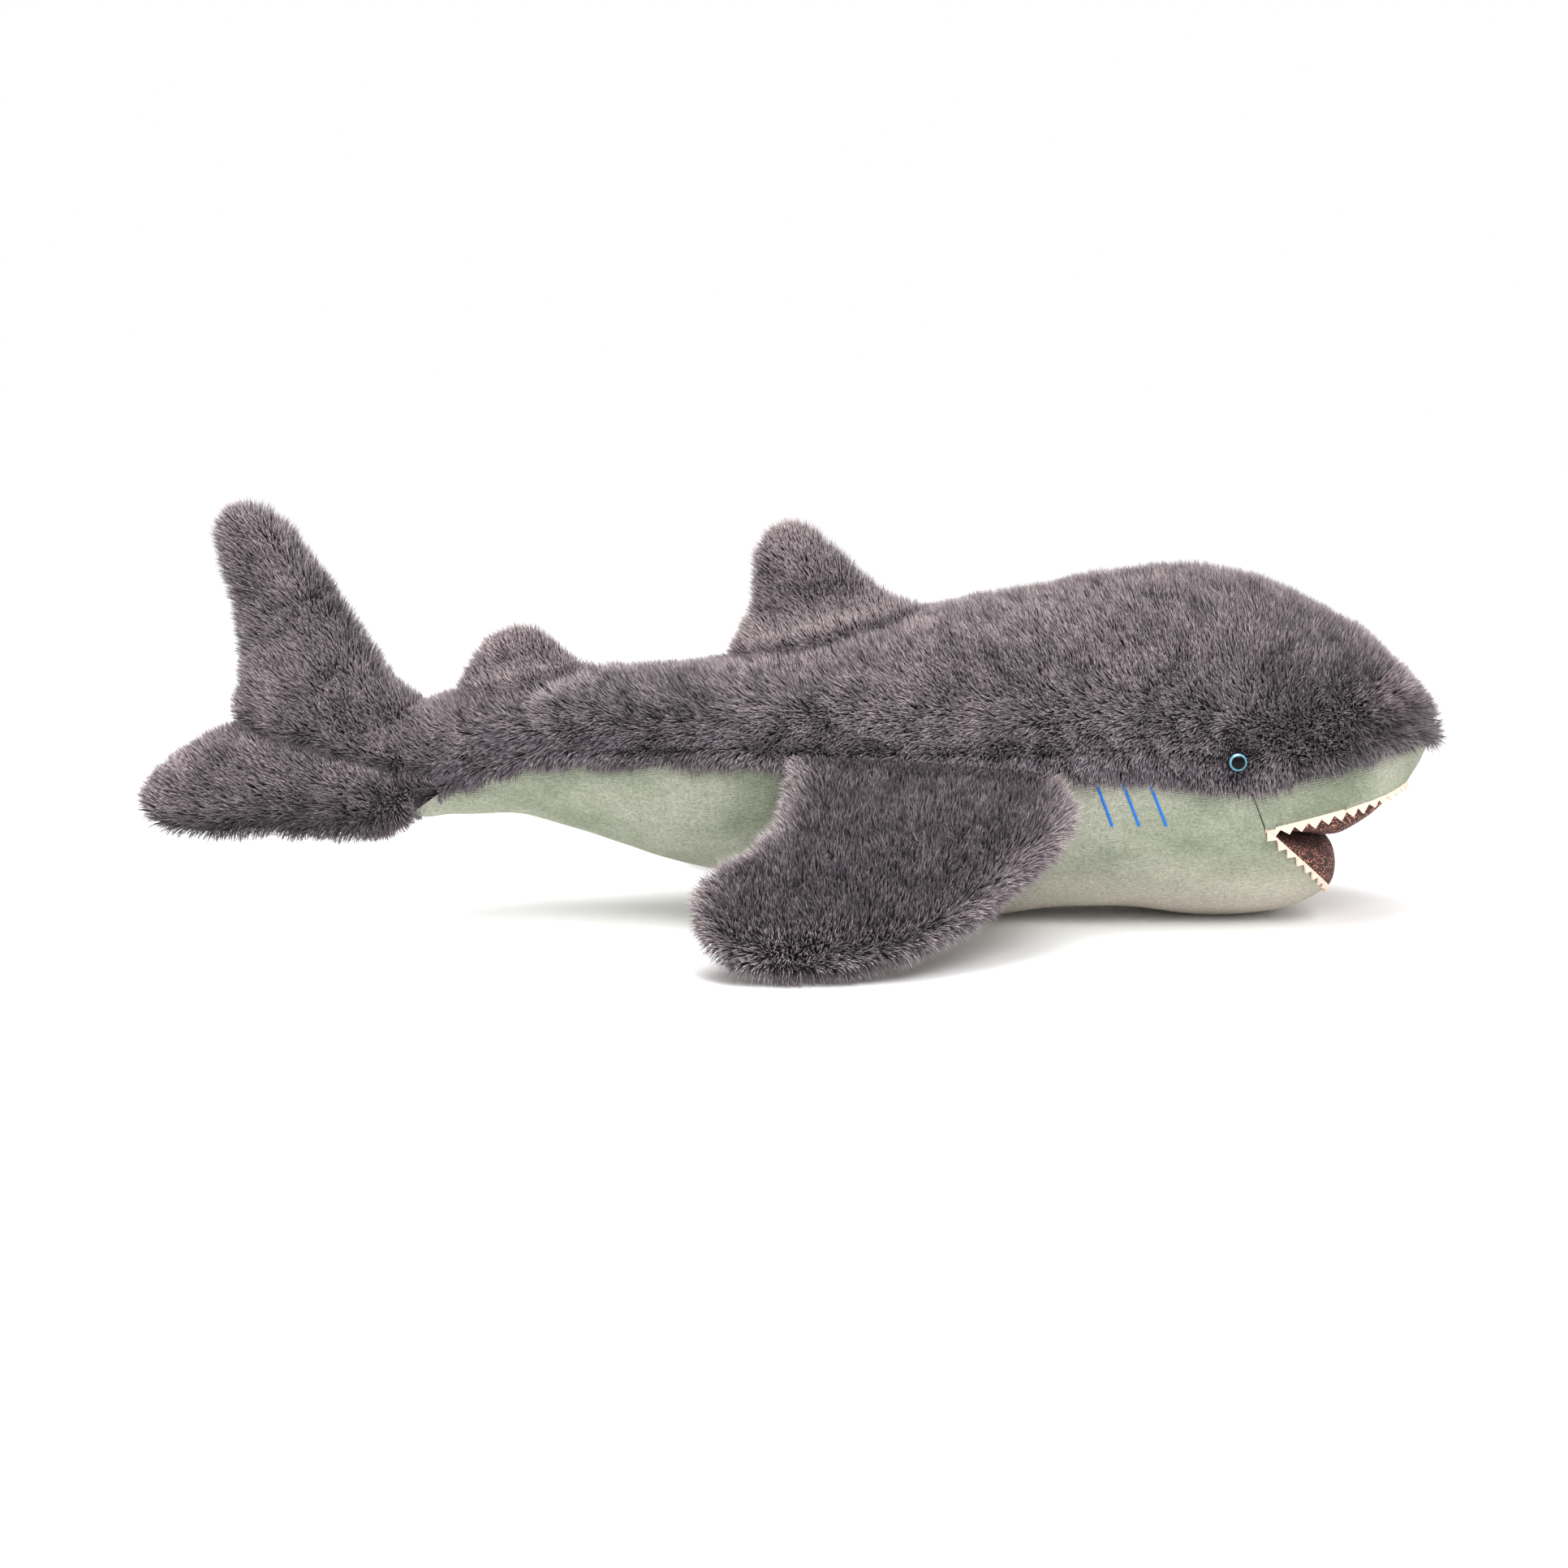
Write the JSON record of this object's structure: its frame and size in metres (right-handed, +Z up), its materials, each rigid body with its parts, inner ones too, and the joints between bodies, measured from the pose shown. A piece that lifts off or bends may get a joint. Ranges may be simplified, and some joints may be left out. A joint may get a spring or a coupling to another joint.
{
  "type": "plush shark",
  "caption": "Stuffed toy shark with long-pile back and fins, velour belly, open lined mouth with felt teeth, safety eyes, and soft joints at the tail, jaw and fins.",
  "frame": {"origin": "under the middle of the toy's box, on the plane it rests on", "axes": "+X towards the nose, +Y to the shark's left, +Z up"},
  "size_m": [0.699, 0.35, 0.224],
  "materials": {
    "long_pile": "long grey faux-fur pile, clumped and swept back, with paler pinkish tips",
    "velour": "short sage-green velour with fine knit rows",
    "sparkle_knit": "dark brown knit with copper metallic threads",
    "felt": "cream felt, cut in points",
    "fibre_fill": "white polyester fibre filling",
    "embroidery_thread": "blue satin-stitched thread with a slight sheen",
    "eye_plastic": "glossy black dome with a pale blue pearly ring",
    "washer_plastic": "white moulded plastic"
  },
  "bodies": {
    "body": {"back_fur_cover": "long_pile", "belly_cover": "velour", "muzzle_cover": "velour", "palate_lining": "sparkle_knit", "upper_teeth_strip": "felt", "body_stuffing": "fibre_fill", "eye_right": "eye_plastic", "eye_left": "eye_plastic", "eye_washer_right": "washer_plastic", "eye_washer_left": "washer_plastic", "gill_stitch_right_1": "embroidery_thread", "gill_stitch_right_2": "embroidery_thread", "gill_stitch_right_3": "embroidery_thread", "gill_stitch_left_1": "embroidery_thread", "gill_stitch_left_2": "embroidery_thread", "gill_stitch_left_3": "embroidery_thread"},
    "jaw": {"jaw_cover": "velour", "jaw_lining": "sparkle_knit", "lower_teeth_strip": "felt", "jaw_stuffing": "fibre_fill"},
    "tail": {"tail_fur_cover": "long_pile", "tail_belly_cover": "velour", "tail_stuffing": "fibre_fill"},
    "tail_fin": {"tail_fin_upper_lobe_cover": "long_pile", "tail_fin_lower_lobe_cover": "long_pile", "tail_fin_stuffing": "fibre_fill"},
    "pectoral_right": {"pectoral_right_fur_panel": "long_pile", "pectoral_right_lining_panel": "sparkle_knit", "pectoral_right_stuffing": "fibre_fill"},
    "pectoral_left": {"pectoral_left_fur_panel": "long_pile", "pectoral_left_lining_panel": "sparkle_knit", "pectoral_left_stuffing": "fibre_fill"},
    "dorsal_fin": {"dorsal_fin_cover": "long_pile", "dorsal_fin_stuffing": "fibre_fill"},
    "second_dorsal_fin": {"second_dorsal_fin_cover": "long_pile", "second_dorsal_fin_stuffing": "fibre_fill"}
  },
  "joints": [
    {"name": "tail_bend", "type": "hinge", "parent": "body", "child": "tail", "pos_m": [-0.078, 0, 0.09], "axis": [0, 0, 1], "range_deg": [-20, 20], "stiffness_Nm_per_rad": 0.8},
    {"name": "tail_fin_bend", "type": "hinge", "parent": "tail", "child": "tail_fin", "pos_m": [-0.2, 0, 0.09], "axis": [0, 0, 1], "range_deg": [-30, 30], "stiffness_Nm_per_rad": 0.3},
    {"name": "jaw_hinge", "type": "hinge", "parent": "body", "child": "jaw", "pos_m": [0.245, 0, 0.06], "axis": [0, 1, 0], "range_deg": [-6, 12], "stiffness_Nm_per_rad": 0.8},
    {"name": "pectoral_right_flap", "type": "hinge", "parent": "body", "child": "pectoral_right", "pos_m": [0.005, -0.07, 0.09], "axis": [-0.9965, 0.0517, 0.0664], "range_deg": [-12, 40], "stiffness_Nm_per_rad": 0.8},
    {"name": "pectoral_left_flap", "type": "hinge", "parent": "body", "child": "pectoral_left", "pos_m": [0.005, 0.07, 0.09], "axis": [0.9965, 0.0517, -0.0664], "range_deg": [-12, 40], "stiffness_Nm_per_rad": 0.8},
    {"name": "dorsal_flop", "type": "hinge", "parent": "body", "child": "dorsal_fin", "pos_m": [-0.031, 0, 0.141], "axis": [0.9726, 0, 0.2326], "range_deg": [-25, 25], "stiffness_Nm_per_rad": 0.3},
    {"name": "second_dorsal_flop", "type": "hinge", "parent": "tail", "child": "second_dorsal_fin", "pos_m": [-0.177, 0, 0.121], "axis": [0.9787, 0, 0.2052], "range_deg": [-25, 25], "stiffness_Nm_per_rad": 0.1}
  ]
}
